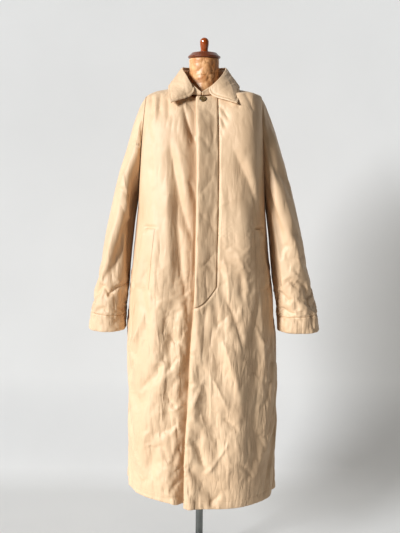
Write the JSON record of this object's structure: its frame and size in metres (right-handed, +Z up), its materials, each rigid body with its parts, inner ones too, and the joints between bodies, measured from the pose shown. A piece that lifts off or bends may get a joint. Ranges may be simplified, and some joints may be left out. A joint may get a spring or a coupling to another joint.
{
  "type": "long padded coat on a dress form",
  "caption": "Long padded fly-front coat with a turned-down collar, set-in cuffed sleeves and welt pockets, on a dress form with a turned wooden neck cap, steel pole and round foot.",
  "frame": {"origin": "the middle of the stand's foot, on the floor", "axes": "+Z up the pole, -Y the way that the coat's front faces, +X to the wearer's left"},
  "size_m": [0.695, 0.3364, 1.6119],
  "materials": {
    "cloth": "beige cotton and nylon shell with a slight sheen, lightly padded",
    "form_cover": "tan crinkled cover, satin",
    "wood": "turned and varnished reddish wood",
    "horn": "dark brown horn button, polished",
    "steel": "grey satin steel"
  },
  "bodies": {
    "root": {"front_left": "cloth", "front_right": "cloth", "back": "cloth", "fly": "cloth", "pocket_welt_left": "cloth", "pocket_welt_right": "cloth", "sleeve_left": "cloth", "sleeve_right": "cloth", "cuff_left": "cloth", "cuff_right": "cloth", "collar_fall": "cloth", "collar_stand": "cloth", "throat_button": "horn", "form_torso": "form_cover", "neck_cap": "wood", "finial": "wood", "pole": "steel", "stand_foot": "steel"}
  },
  "joints": []
}
